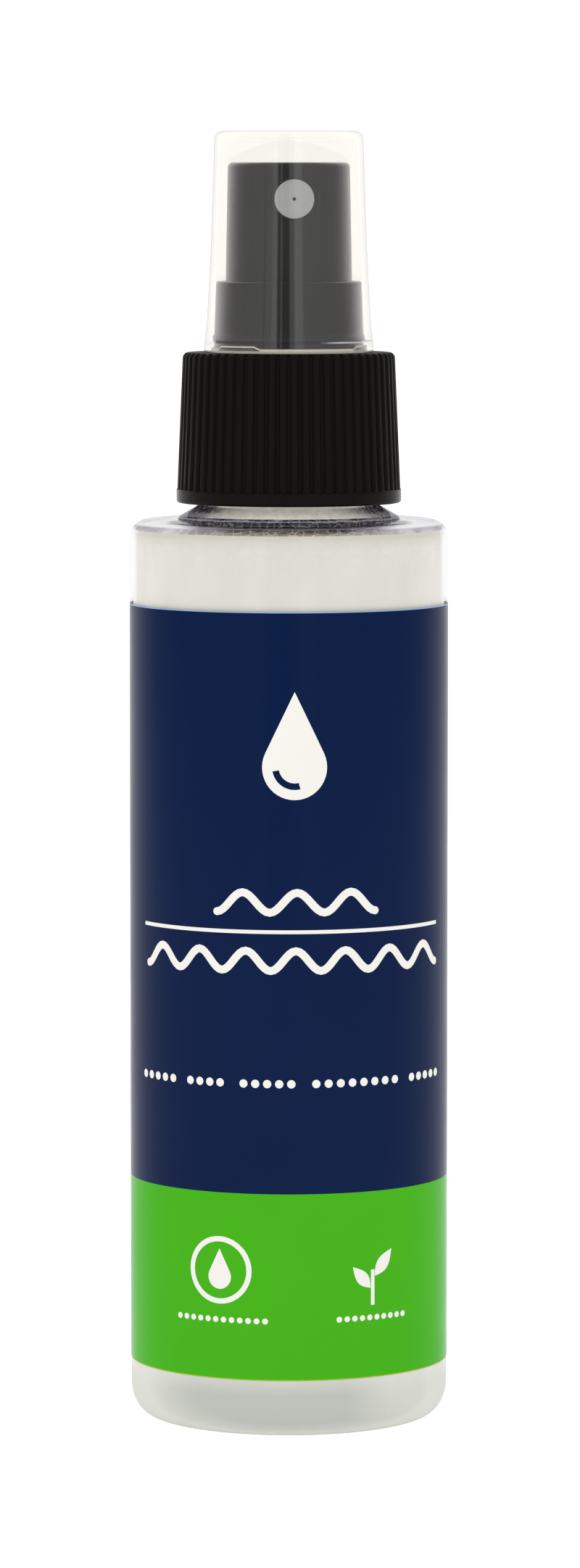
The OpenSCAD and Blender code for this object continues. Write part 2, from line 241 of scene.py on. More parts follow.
def toward_nozzle(thing):
    """Lays a piece turned about Z along the nozzle's line, its +Z pointing out of the nozzle."""
    turn = Matrix.Rotation(nozzle_turn, 4, "Z")
    lay = Matrix.Rotation(math.radians(90), 4, "X")
    thing.data.transform(Matrix.Translation((0, 0, nozzle_z * MM)) @ turn @ lay)
    return thing


# ---------------------------------------------------------------- material helpers


def shader():
    """An empty node material and its tree."""
    made = bpy.data.materials.new("material")
    made.use_nodes = True
    made.node_tree.nodes.clear()
    return made, made.node_tree


def add(tree, kind, inputs=None, **settings):
    """A node with its settings and inputs; an input may be a socket to link from."""
    made = tree.nodes.new(kind)
    for key, value in settings.items():
        setattr(made, key, value)
    for key, value in (inputs or {}).items():
        if isinstance(value, bpy.types.NodeSocket):
            tree.links.new(value, made.inputs[key])
        else:
            made.inputs[key].default_value = value
    return made


def output(tree, surface):
    """Sends a shader to the surface."""
    add(tree, "ShaderNodeOutputMaterial", {"Surface": surface})


def principled(tree, inputs):
    """Principled shader's socket."""
    return add(tree, "ShaderNodeBsdfPrincipled", inputs).outputs["BSDF"]


def mixed(tree, share, a, b):
    """Shader a where share is 0 and b where it is 1."""
    return add(tree, "ShaderNodeMixShader", {0: share, 1: a, 2: b}).outputs[0]


def place(tree):
    """Position in the object, in metres, so that a pattern moves with its piece."""
    return add(tree, "ShaderNodeTexCoord").outputs["Object"]


def stretched(tree, scale):
    """Position scaled along each axis."""
    return add(tree, "ShaderNodeMapping", {"Vector": place(tree), "Scale": scale}).outputs["Vector"]


def noise(tree, scale, detail=3, roughness=0.5, stretch=(1, 1, 1)):
    """Noise with about scale spots to a metre."""
    vector = stretched(tree, stretch)
    inputs = {"Vector": vector, "Scale": scale, "Detail": detail, "Roughness": roughness}
    return add(tree, "ShaderNodeTexNoise", inputs).outputs["Fac"]


def cell_edge(tree, scale, stretch=(1, 1, 1)):
    """Distance to the nearest wall of a foam of cells, about scale of them to a metre."""
    inputs = {"Vector": stretched(tree, stretch), "Scale": scale}
    cells = add(tree, "ShaderNodeTexVoronoi", inputs, feature="DISTANCE_TO_EDGE")
    return cells.outputs["Distance"]


def ramp(tree, value, stops):
    """Colour ramp; stops are (position, colour)."""
    made = add(tree, "ShaderNodeValToRGB", {"Fac": value})
    elements = made.color_ramp.elements
    while len(elements) < len(stops):
        elements.new(0.5)
    for element, (position, colour) in zip(elements, stops):
        element.position = position
        element.color = (*colour, 1)
    return made.outputs["Color"]


def rescale(tree, value, low, high, to_low=0.0, to_high=1.0, clamp=True):
    """Takes a value's range from low and high to two other values."""
    ends = {"From Min": low, "From Max": high, "To Min": to_low, "To Max": to_high}
    inputs = {"Value": value, **ends}
    return add(tree, "ShaderNodeMapRange", inputs, clamp=clamp).outputs["Result"]


def blend(tree, factor, a, b):
    """Colour a where factor is 0 and b where it is 1."""
    made = add(tree, "ShaderNodeMix", data_type="RGBA")
    for socket, value in (("Factor_Float", factor), ("A_Color", a), ("B_Color", b)):
        target = next(s for s in made.inputs if s.identifier == socket)
        if isinstance(value, bpy.types.NodeSocket):
            tree.links.new(value, target)
        else:
            target.default_value = (*value, 1) if isinstance(value, tuple) else value
    return next(s for s in made.outputs if s.identifier == "Result_Color")


def calc(tree, operation, a, b=0.0):
    """Maths on two values or sockets."""
    return add(tree, "ShaderNodeMath", {0: a, 1: b}, operation=operation).outputs[0]


def product(tree, first, *others):
    """All the values multiplied."""
    for other in others:
        first = calc(tree, "MULTIPLY", first, other)
    return first


def bump(tree, height, strength, distance):
    """Normal of a surface raised by a height."""
    inputs = {"Height": height, "Strength": strength, "Distance": distance}
    return add(tree, "ShaderNodeBump", inputs).outputs["Normal"]


def coordinate(tree, axis):
    """Position along one axis, in metres."""
    return add(tree, "ShaderNodeSeparateXYZ", {"Vector": place(tree)}).outputs[axis]


def fade(tree, axis, start, end, at_start=0.0, at_end=1.0):
    """Goes from one value to another between two places on an axis, in mm."""
    return rescale(tree, coordinate(tree, axis), start * MM, end * MM, at_start, at_end)


def slant_to_view(tree):
    """0 where a surface faces the viewer and 1 at its outline."""
    return add(tree, "ShaderNodeLayerWeight", {"Blend": 0.5}).outputs["Facing"]


def srgb(*channels):
    """A display colour of 0 to 255 as the linear values that nodes take."""
    parts = [c / 255 for c in channels]
    return tuple(p / 12.92 if p <= 0.04045 else ((p + 0.055) / 1.055) ** 2.4 for p in parts)


# ---------------------------------------------------------------- materials


def moulded(colour, shade, roughness, grain=3600.0, depth=0.01, specular=0.5):
    """Moulded plastic: two close shades, a roughness that wanders, and a fine mould texture."""
    made, tree = shader()
    patch = noise(tree, 120, detail=4)
    fine = noise(tree, grain, detail=2)
    inputs = {
        "Base Color": blend(tree, patch, colour, shade),
        "Roughness": rescale(tree, patch, 0.3, 0.7, roughness * 0.85, roughness * 1.15),
        "Specular IOR Level": specular,
        "Normal": bump(tree, fine, 0.12, depth * MM),
    }
    output(tree, principled(tree, inputs))
    return made


def steel(roughness, streak):
    """Bright steel with fine drawing marks."""
    made, tree = shader()
    marks = noise(tree, 3000, detail=2, stretch=streak)
    inputs = {
        "Base Color": blend(tree, marks, (0.62, 0.62, 0.61), (0.78, 0.78, 0.77)),
        "Metallic": 1.0,
        "Roughness": rescale(tree, marks, 0.3, 0.7, roughness * 0.7, roughness * 1.3),
        "Normal": bump(tree, marks, 0.1, 0.004 * MM),
    }
    output(tree, principled(tree, inputs))
    return made


def cool_white(tree):
    """Faint colour of the haze in the clear plastics."""
    return blend(tree, noise(tree, 200), (0.93, 0.92, 0.95), (0.88, 0.88, 0.92))


def clear_skin(tint, reflect, edge, polish, haze, haze_colour=cool_white, haze_map=None):
    """Thin clear plastic: see-through, with a little haze, and gloss that grows at its outline."""
    made, tree = shader()
    drift = noise(tree, 90, detail=2, stretch=(1, 1, 0.25))
    ripple = bump(tree, drift, 0.01, 0.1 * MM)
    slant = slant_to_view(tree)
    thin = blend(tree, calc(tree, "POWER", slant, 5.0), tint, (1.0, 1.0, 1.0))
    clear = add(tree, "ShaderNodeBsdfTransparent", {"Color": thin}).outputs[0]
    cloudy = add(tree, "ShaderNodeBsdfDiffuse", {"Color": haze_colour(tree)}).outputs[0]
    amount = rescale(tree, drift, 0.2, 0.8, haze * 0.85, haze * 1.15)
    if haze_map:
        amount = haze_map(tree, amount)
    inner = mixed(tree, amount, clear, cloudy)
    gloss = add(tree, "ShaderNodeBsdfGlossy", {"Roughness": polish, "Normal": ripple}).outputs[0]
    mirror = rescale(tree, calc(tree, "POWER", slant, 4.5), 0, 1, reflect, edge)
    output(tree, mixed(tree, mirror, inner, gloss))
    return made


def lustrous(colour, shade, reflect, edge):
    """Polished moulding: dark where it faces the viewer, mirroring the room toward its outline."""
    made, tree = shader()
    patch = noise(tree, 120, detail=4)
    mould = bump(tree, noise(tree, 3600, detail=2), 0.1, 0.01 * MM)
    shades = blend(tree, patch, colour, shade)
    inputs = {"Base Color": shades, "Roughness": 0.5, "Specular IOR Level": 0.05, "Normal": mould}
    body = principled(tree, inputs)
    polish = rescale(tree, patch, 0.3, 0.7, 0.14, 0.2)
    inputs = {"Color": (0.97, 0.96, 1.0, 1), "Roughness": polish}
    gloss = add(tree, "ShaderNodeBsdfGlossy", inputs).outputs[0]
    mirror = rescale(tree, calc(tree, "POWER", slant_to_view(tree), 2.6), 0, 1, reflect, edge)
    output(tree, mixed(tree, mirror, body, gloss))
    return made


def ink(colour, shade, roughness=0.2):
    """Printed film: even ink with a faint screen grain under a thin varnish."""
    made, tree = shader()
    patch = noise(tree, 60, detail=5, roughness=0.6)
    screen = noise(tree, 6000, detail=1)
    inputs = {
        "Base Color": blend(tree, patch, colour, shade),
        "Roughness": rescale(tree, patch, 0.3, 0.7, roughness - 0.05, roughness + 0.05),
        "Specular IOR Level": 0.05,
        "Normal": bump(tree, screen, 0.05, 0.003 * MM),
    }
    output(tree, principled(tree, inputs))
    return made


def liquid_colour(tree):
    """Milky, with faint clouds and bubbles; painted light makes it lighter toward the sides and
    near white at its outline, and painted shade makes its base greyer.
    """
    slant = slant_to_view(tree)
    # painted light: lighter toward the sides, as the surface turns from the view
    sides = rescale(tree, slant, 0.15, 0.75)
    colour = blend(tree, sides, srgb(224, 221, 214), srgb(232, 228, 223))
    clouds = noise(tree, 300, detail=4, roughness=0.55, stretch=(1, 1, 0.6))
    colour = blend(tree, rescale(tree, clouds, 0.4, 0.7, 0.0, 0.24), colour, srgb(205, 202, 196))
    strand = rescale(tree, cell_edge(tree, 520.0), 0.0, 0.07, 1.0, 0.0)
    upper = fade(tree, "Z", foam_z - 7, foam_z, 0.0, 0.22)
    colour = blend(tree, product(tree, strand, upper), colour, srgb(196, 193, 190))
    under_foam = fade(tree, "Z", foam_z - 1.8, foam_z - 0.5, 0.0, 0.75)
    colour = blend(tree, under_foam, colour, srgb(210, 206, 197))
    # painted light: near white at the outline
    colour = blend(tree, rescale(tree, slant, 0.76, 0.86), colour, srgb(254, 253, 251))
    # painted shade: the base greyer, lighter toward its sides and in soft patches to the right
    base = fade(tree, "Z", label_low.z - 2, label_low.z + 2, 1.0, 0.0)
    soft = noise(tree, 60, detail=2)
    right = fade(tree, "X", 7, 12, 0.0, 0.75)
    patch = product(tree, rescale(tree, soft, 0.35, 0.6, 0.4, 1.0), right)
    light = calc(tree, "MAXIMUM", rescale(tree, slant, 0.2, 0.56), patch)
    grey = blend(tree, light, srgb(184, 187, 180), srgb(216, 216, 208))
    return blend(tree, base, colour, grey)


def bubbles(tree, colour, scale, width, strength, stretch=(1, 1, 1)):
    """Lays fine white bubble outlines over a colour."""
    line = rescale(tree, cell_edge(tree, scale, stretch), width * 0.4, width, strength, 0.0)
    return blend(tree, line, colour, srgb(226, 222, 220))


def shelf_colour(tree):
    """Wet film under the shoulder's edge: brown and purple grey, paler at its foot; painted light
    makes it paler and mottled toward the sides and near white at the flat top's ends, and the dark
    blue label seen through the wall is painted in near the neck.
    """
    broad = noise(tree, 420, detail=3, roughness=0.6)
    colour = blend(tree, rescale(tree, broad, 0.38, 0.62), srgb(68, 62, 58), srgb(38, 34, 38))
    foot = fade(tree, "Z", foam_z + 0.1, foam_z + 0.5, 1.0, 0.0)
    colour = blend(tree, foot, colour, srgb(126, 119, 96))
    # painted light: paler and mottled toward the sides
    across = calc(tree, "ABSOLUTE", coordinate(tree, "X"))
    edge = rescale(tree, across, 6.5 * MM, 13.5 * MM)
    mottled = blend(tree, rescale(tree, broad, 0.4, 0.6), srgb(186, 180, 182), srgb(146, 138, 150))
    colour = blend(tree, edge, colour, mottled)
    # painted highlight: near white at both ends of the flat top
    flat = fade(tree, "Z", shoulder_z - 0.62, shoulder_z - 0.38)
    side = product(tree, flat, rescale(tree, across, 10.5 * MM, 13.5 * MM))
    colour = blend(tree, side, colour, srgb(240, 239, 243))
    # painted refraction: the dark blue label seen through the wall, near the neck
    level = {0: stretched(tree, (1, 1, 0))}
    radius = add(tree, "ShaderNodeVectorMath", level, operation="LENGTH").outputs["Value"]
    root = product(tree, flat, rescale(tree, radius, 14.2 * MM, 15.2 * MM, 1.0, 0.0))
    dark = blend(tree, rescale(tree, broad, 0.5, 0.6), srgb(18, 17, 32), srgb(60, 56, 66))
    colour = blend(tree, root, colour, dark)
    return bubbles(tree, colour, 900.0, 0.05, 0.25)


def flare_colour(tree):
    """Wet film inside the neck's flare: a pale band over dark blue dashes, with fine bubbles; its
    dark blue is the label seen through the clear wall, painted.
    """
    height = coordinate(tree, "Z")
    rise = rescale(tree, height, shoulder_z * MM, (shoulder_z + 1) * MM, clamp=False)  # in mm
    slant = slant_to_view(tree)
    broad = noise(tree, 300, detail=2, roughness=0.5, stretch=(1, 1, 4))
    fine = noise(tree, 1500, detail=3, roughness=0.65)
    grey = blend(tree, rescale(tree, fine, 0.38, 0.62), srgb(168, 164, 166), srgb(108, 107, 118))
    pale = blend(tree, rescale(tree, fine, 0.35, 0.7), srgb(232, 229, 219), srgb(208, 204, 194))
    upper = blend(tree, rescale(tree, slant, 0.56, 0.68), pale, grey)
    # painted refraction: dark blue spots and outline where the label shows through the wall
    high_side = product(tree, rescale(tree, rise, 0.95, 1.2), rescale(tree, slant, 0.52, 0.62))
    spots = product(tree, rescale(tree, fine, 0.48, 0.53), high_side)
    upper = blend(tree, spots, upper, srgb(34, 32, 56))
    broken = rescale(tree, fine, 0.42, 0.58, 1.0, 0.35)
    outline = product(tree, rescale(tree, slant, 0.74, 0.9), broken)
    upper = blend(tree, outline, upper, srgb(62, 62, 104))
    # painted refraction: dark blue dashes and a low dark band where the label shows through the
    # wall
    dashes = blend(tree, rescale(tree, broad, 0.5, 0.56), srgb(24, 27, 52), srgb(104, 105, 118))
    low = blend(tree, rescale(tree, broad, 0.42, 0.5), srgb(104, 101, 102), srgb(34, 34, 66))
    colour = blend(tree, rescale(tree, rise, 0.54, 0.62), dashes, upper)
    colour = blend(tree, rescale(tree, rise, 0.34, 0.38), srgb(122, 118, 120), colour)
    colour = blend(tree, rescale(tree, rise, 0.2, 0.26), low, colour)
    return bubbles(tree, colour, 1200.0, 0.08, 0.22, stretch=(1, 1, 1.4))


def contents_colour(tree):
    """What shows in the bottle at each height: liquid, foam on the shoulder, foam in the neck."""
    above = fade(tree, "Z", foam_z - 0.02, foam_z + 0.06)
    in_neck = fade(tree, "Z", shoulder_z + 0.02, shoulder_z + 0.08)
    upper = blend(tree, in_neck, shelf_colour(tree), flare_colour(tree))
    return blend(tree, above, liquid_colour(tree), upper)


def contents(glow):
    """Cloudy liquid and its foam; glow stands for light that comes through from behind."""
    made, tree = shader()
    colour = contents_colour(tree)
    inputs = {
        "Base Color": colour, "Roughness": 0.4, "Specular IOR Level": 0.05,
        "Emission Color": colour, "Emission Strength": glow,
    }
    output(tree, principled(tree, inputs))
    return made


def bubble_skin():
    """Wet white strands between bubbles."""
    made, tree = shader()
    wander = noise(tree, 900, detail=2)
    inputs = {
        "Base Color": blend(tree, wander, srgb(240, 236, 232), srgb(196, 190, 196)),
        "Roughness": 0.3,
        "Specular IOR Level": 0.5,
    }
    output(tree, principled(tree, inputs))
    return made


def cap_haze(tree, amount):
    """More haze near the overcap's foot, and a painted highlight on its bead to the right."""
    foot_z = overcap_low.z
    foot = fade(tree, "Z", foot_z, foot_z + 3, 1.8, 1.0)
    # painted highlight: a thin bright band on the bead, growing toward the right
    lower = fade(tree, "Z", foot_z + 1.05, foot_z + 1.15)
    upper = fade(tree, "Z", foot_z + 1.25, foot_z + 1.35, 1.0, 0.0)
    bead_highlight = product(tree, lower, upper, fade(tree, "X", 3.6, 6, 0.0, 0.55))
    return calc(tree, "MAXIMUM", product(tree, amount, foot), bead_highlight)


def wet_haze(tree, amount):
    """The base, the shoulder's round edge and the neck's flare carry the look of what is inside."""
    base = fade(tree, "Z", label_low.z + 0.5, label_low.z + 1.1, 1.0, 0.0)
    above = fade(tree, "Z", foam_z, foam_z + 0.5)
    normal = add(tree, "ShaderNodeNewGeometry").outputs["Normal"]
    upward = add(tree, "ShaderNodeSeparateXYZ", {"Vector": normal}).outputs["Z"]
    sideways = rescale(tree, upward, 0.9, 0.98, 1.0, 0.0)
    slanted = rescale(tree, slant_to_view(tree), 0.45, 0.75)
    most = fade(tree, "Z", shoulder_z, shoulder_z + 0.2, 0.7, 0.95)
    edge = product(tree, slanted, most, sideways, above)
    return calc(tree, "MAXIMUM", calc(tree, "MAXIMUM", amount, base), edge)


MATERIALS = {
    "clear_pet": clear_skin(
        tint=(0.99, 0.99, 0.985), reflect=0.03, edge=0.55, polish=0.05,
        haze=0.01, haze_colour=contents_colour, haze_map=wet_haze,
    ),
    "clear_pet_inside": clear_skin(
        tint=(1.0, 1.0, 1.0), reflect=0.01, edge=0.05, polish=0.05, haze=0.004,
    ),
    "clear_pp": clear_skin(
        tint=(0.984, 0.976, 0.94), reflect=0.08, edge=1.0, polish=0.006,
        haze=0.012, haze_map=cap_haze,
    ),
    "clear_pp_inside": clear_skin(
        tint=(1.0, 1.0, 1.0), reflect=0.04, edge=0.07, polish=0.006, haze=0.005,
    ),
    "black_pp": moulded(srgb(18, 16, 13), srgb(21, 19, 16), 0.5, specular=0.05),
    "glossy_black_pp": lustrous(srgb(20, 19, 18), srgb(24, 23, 22), 0.025, 0.72),
    "dark_pp": moulded(srgb(30, 30, 30), srgb(40, 40, 40), 0.45),
    "white_pp": moulded(srgb(238, 238, 234), srgb(228, 228, 224), 0.4),
    "natural_pe": moulded(srgb(226, 228, 224), srgb(214, 217, 212), 0.38),
    "foam_pe": moulded(srgb(232, 232, 228), srgb(214, 214, 210), 0.8, grain=2000, depth=0.08),
    "seal_rubber": moulded(srgb(78, 78, 80), srgb(62, 62, 64), 0.7),
    "grey_acetal": moulded(srgb(176, 179, 180), srgb(152, 155, 156), 0.4),
    "polished_steel": steel(0.12, (1, 1, 1)),
    "spring_steel": steel(0.28, (1, 1, 6)),
    "cleaning_liquid": contents(0.0),
    "foam_film": contents(0.42),
    # painted highlight for the top edge of the closure's ledge
    "painted_highlight_pp": moulded(srgb(236, 232, 222), srgb(214, 210, 202), 0.5),
    "satin_black_pp": moulded(srgb(19, 17, 15), srgb(22, 20, 17), 0.16, specular=0.05),
    "bubble_white": bubble_skin(),
    "dark_blue_ink": ink(srgb(12, 31, 69), srgb(9, 27, 64)),
    "green_ink": ink(srgb(70, 177, 22), srgb(67, 170, 26)),
    "white_ink": ink(srgb(240, 238, 231), srgb(232, 230, 224), roughness=0.5),
    "film_edge_cool": ink(srgb(150, 178, 212), srgb(128, 158, 200)),
    "film_edge_warm": ink(srgb(150, 186, 30), srgb(164, 180, 40)),
}
for name, made in MATERIALS.items():
    made.name = name


def paint(thing, *names, choose=None):
    """Gives a piece its materials; choose(centre in mm) names one of them for each face."""
    thing.data.materials.clear()
    for name in names:
        thing.data.materials.append(MATERIALS[name])
    if choose:
        for face in thing.data.polygons:
            face.material_index = names.index(choose(face.center / MM))


# ---------------------------------------------------------------- bottle, liquid and foam


def on_turn(turn, profile, rise=0.0):
    """A profile of (radius, height) placed at an angle about Z and raised."""
    return [(r * math.cos(turn), r * math.sin(turn), z + rise) for r, z in profile]


def helix_ridge(name, wall_r, crest_r, foot_w, crest_w, z, turns, body, slot):
    """Screw thread's ridge that rises from the wall and fades at both ends."""
    steps = round(turns * 64)
    run_out = 0.12
    sections = []
    for i in range(steps + 1):
        turn = turns * i / steps
        grown = max(0.03, min(1, turn / run_out, (turns - turn) / run_out))
        crest = wall_r + (crest_r - wall_r) * grown
        profile = [(wall_r, -foot_w / 2), (crest, -crest_w / 2)]
        profile += [(crest, crest_w / 2), (wall_r, foot_w / 2)]
        sections.append(on_turn(2 * math.pi * turn, profile, z + THREAD_PITCH * turn))
    return sweep(name, sections, body, slot, sharp=25)


def base_dome(z):
    """The pushed-up base from the axis outward, with its edge at height z."""
    rise, edge = 2.6, 14.6
    return [(r, z + rise * (1 - (r / edge) ** 2)) for r in (0, 4, 8, 11, 13, 14.2)]


def inner_base(gap):
    """Inside of the pushed-up base from the axis to the side, shrunk by gap."""
    floor = 1.0
    reach = body_r - wall - gap - heel[0]
    bend = heel[1] - floor - gap
    return base_dome(floor + gap) + arc(heel, bend, -90, 0, 10, squeeze=reach / bend)


def make_bottle():
    """Clear bottle: standing ring, heel, flat shoulder with a round edge, flare, threaded neck."""
    outside = base_dome(0) + [(14.7, 0.02), (15.4, 0.0)]
    outside += arc(heel, heel[1], -90, 0, 12, squeeze=(body_r - heel[0]) / heel[1])
    outside += arc(edge_centre, edge_r, 0, 90, 12)
    outside += [(13.05, shoulder_z, 0.08), (13.35, shoulder_z + 0.1, 0.08)]
    outside += [(13.35, shoulder_z + 0.4, 0.18)]
    outside += [(10.95, shoulder_z + 1.8, 0.5), (10.9, lip_z, 0.4)]
    inside_line = [(9.4, lip_z, 0.3), (9.4, shoulder_z + 3.6, 0.5), (10.6, shoulder_z + 1.75, 0.3)]
    inside_line += [(13.05, shoulder_z + 0.3, 0.08), (13.05, shoulder_z - wall, 0.1)]
    inside_line += list(reversed(edge_inside(0, 0, 90)))
    inside_line += list(reversed(inner_base(0)))

    def side(centre):
        beside_liquid = label_low.z < centre.z < shoulder_z - 1.8
        within = math.hypot(centre.x, centre.y) < body_r - wall / 2
        return "clear_pet_inside" if beside_liquid and within else "clear_pet"

    shell = revolve("bottle_shell", rounded(outside + inside_line), "bottle", "clear_pet")
    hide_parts("bottle")
    thread = helix_ridge(
        "bottle_thread", 10.8, 11.8, 2.3, 0.9, thread_z, 1.5, "bottle", "clear_pet"
    )
    for thing in (shell, thread):
        paint(thing, "clear_pet", "clear_pet_inside", choose=side)


def edge_inside(gap, start, end):
    """Inside of the shoulder's round edge, shrunk by gap, between two angles in degrees."""
    return arc(edge_centre, edge_r - wall - gap, start, end)


def foam_angle():
    """Angle on the shoulder's edge where the liquid stops and the foam starts."""
    return math.degrees(math.asin((foam_z - edge_centre[1]) / (edge_r - wall - GAP)))


def make_liquid():
    """Cloudy liquid with a channel for the pump and a narrower one for the top of its tube."""
    pump_r, pump_foot = 4.5, 101.0
    tube_r, channel_foot = 2.9, 94.0
    outline = inner_base(GAP) + edge_inside(GAP, 0, foam_angle())
    outline += [(pump_r, foam_z), (pump_r, pump_foot), (tube_r, pump_foot)]
    outline += [(tube_r, channel_foot), (0, channel_foot)]
    liquid = revolve("cleaning_liquid", outline, "bottle", "cleaning_liquid")
    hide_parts("liquid")
    paint(liquid, "cleaning_liquid")


def make_foam():
    """Film of fine foam inside the shoulder and neck, with strands between its bubbles."""
    shelf = edge_inside(GAP, foam_angle(), 90)
    flare = [(13.0, shoulder_z + 0.27), (10.56, shoulder_z + 1.7)]
    flare += [(9.36, shoulder_z + 3.58), (9.36, lip_z - 6)]
    line = shelf + [(13.0, shoulder_z - wall - GAP)] + flare
    back = [(r - 0.1, z - 0.12) for r, z in reversed(line)]  # the film is thin
    film = revolve("foam_film", line + back, "bottle", "cleaning_liquid")
    paint(film, "foam_film")
    make_bubble_web("shoulder_bubbles", shelf, 2, 60, 0.044)
    make_bubble_web("neck_bubbles", [flare[0], along(flare[:2], 0.35)], 1, 64, 0.024)


def make_bubble_web(name, line, rows, columns, wire):
    """Strands between bubbles: a shaken honeycomb laid along a line and made into thin wires."""
    chance = random.Random(7)
    bm = bmesh.new()
    grid = {}
    for i in range(rows + 2):
        for j in range(2 * columns):
            stagger = 0.2 if (i + j) % 2 else -0.2
            share = (i - 0.5 + stagger + chance.uniform(-0.3, 0.3)) / rows
            r, z = along(line, min(max(share, 0), 1))
            turn = math.pi * (j + chance.uniform(-0.5, 0.5)) / columns
            grid[i, j] = bm.verts.new(Vector((r * math.cos(turn), r * math.sin(turn), z)) * MM)
    for i in range(rows + 1):
        for j in range(i % 2, 2 * columns, 2):
            across = (j, (j + 1) % (2 * columns), (j + 2) % (2 * columns))
            low_side = [grid[i, k] for k in across]
            high_side = [grid[i + 1, k] for k in reversed(across)]
            bm.faces.new(low_side + high_side)
    mesh = bpy.data.meshes.new(name)
    bm.to_mesh(mesh)
    bm.free()
    web = riding(name, mesh, "bottle")
    wires = web.modifiers.new("wires", "WIREFRAME")
    wires.thickness = wire * MM
    wires.use_even_offset = False
    finished(web)
    paint(web, "bubble_white")


def along(line, share):
    """Point at a share of the way along a line of points."""
    steps = [(Vector(b) - Vector(a)).length for a, b in zip(line, line[1:])]
    distance = share * sum(steps)
    for start, end, step in zip(line, line[1:], steps):
        if distance <= step:
            return Vector(start).lerp(Vector(end), distance / step)
        distance -= step
    return Vector(line[-1])


# ---------------------------------------------------------------- label and its print


def make_label():
    """Printed film, dark blue above green, with its bare cut edges and a glued overlap."""
    inner_r = label_r - 0.05
    low, high = label_low.z, label_high.z
    edge = 0.12  # height of the bare film at the cut edges
    levels = [low, low + edge, ink_split_z, high - edge, high]
    outline = [(label_r - 0.02, low)] + [(label_r, z) for z in levels[1:-1]]
    outline += [(label_r - 0.02, high), (inner_r, high), (inner_r, low)]

    def zone(centre):
        if centre.z > high - edge:
            return "film_edge_cool"
        if centre.z < low + edge:
            return "film_edge_warm"
        return "dark_blue_ink" if centre.z > ink_split_z else "green_ink"

    film = revolve("label_film", outline, "bottle", "label_film")
    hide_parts("label")
    lap = [(r + 0.04, z) for r, z in outline]
    lap_start, lap_width, steps = math.radians(38), math.radians(9), 12
    sections = [on_turn(lap_start + lap_width * i / steps, lap) for i in range(steps + 1)]
    overlap = sweep("label_overlap", sections, "bottle", "label_film")
    inks = ("dark_blue_ink", "green_ink", "film_edge_cool", "film_edge_warm")
    for thing in (film, overlap):
        paint(thing, *inks, choose=zone)


def bar(left, right, low, high):
    """Rounded bar that stands in for lettering, in mm along and up the label."""
    r = (high - low) * 0.22
    corners = [(left, low, r), (right, low, r), (right, high, r), (left, high, r)]
    return rounded(corners, steps=4)


def wave(left, right, middle, swing, stroke, waves):
    """Ripple of even stroke from left to right, with round ends."""
    steps = 16 * waves
    pitch = (right - left) / waves
    upper, lower = [], []
    for i in range(steps + 1):
        x = left + (right - left) * i / steps
        turn = 2 * math.pi * (x - left) / pitch
        z = middle - swing * math.cos(turn)
        slope = swing * 2 * math.pi / pitch * math.sin(turn)
        across = Vector((-slope, 1)).normalized() * stroke / 2
        upper.append((x + across.x, z + across.y))
        lower.append((x - across.x, z - across.y))
    low_end = middle - swing
    start = arc((left, low_end), stroke / 2, 90, 270, 8)
    end = arc((right, low_end), stroke / 2, -90, 90, 8)
    return start[:-1] + lower[:-1] + end[:-1] + list(reversed(upper[1:]))


def dots(left, right, z, r, count):
    """Row of round dots."""
    pitch = (right - left - 2 * r) / (count - 1)
    return [circle(left + r + i * pitch, z, r) for i in range(count)]


def drop(x, z, r, height):
    """Water drop: a circle with a point above it."""
    lean = math.degrees(math.acos(r / height))
    return arc((x, z), r, 90 + lean, 450 - lean, 28) + [(x, z + height)]


def circle(x, z, r):
    """Round outline about (x, z)."""
    return arc((x, z), r, 0, 360, 40)[:-1]


def leaf(x, z, length, width, lean):
    """Pointed leaf that grows from (x, z), leaning by an angle from upright."""
    shares = [i / 12 for i in range(13)]
    side = [(width * math.sin(math.pi * t) * (1 - 0.35 * t), length * t) for t in shares]
    shape = side + [(-p, q) for p, q in reversed(side[1:-1])]
    c, s = math.cos(math.radians(lean)), math.sin(math.radians(lean))
    return [(x + p * c + q * s, z - p * s + q * c) for p, q in shape]


def crescent(x, z, outer, inner, start, end):
    """Part of a ring between two angles in degrees."""
    return arc((x, z), outer, start, end, 14) + arc((x, z), inner, end, start, 14)


def filled(name, outlines):
    """Flat mesh of outlines filled in, where one within another is a hole."""
    curve = bpy.data.curves.new(name, "CURVE")
    curve.dimensions = "2D"
    curve.fill_mode = "BOTH"
    for outline in outlines:
        spline = curve.splines.new("POLY")
        spline.points.add(len(outline) - 1)
        for point, (u, v) in zip(spline.points, outline):
            point.co = (u, v, 0, 1)
        spline.use_cyclic_u = True
    flat = in_scene(name + "_flat", curve)
    bpy.context.view_layer.update()
    graph = bpy.context.evaluated_depsgraph_get()
    mesh = bpy.data.meshes.new_from_object(flat.evaluated_get(graph))
    bpy.data.objects.remove(flat)
    return mesh


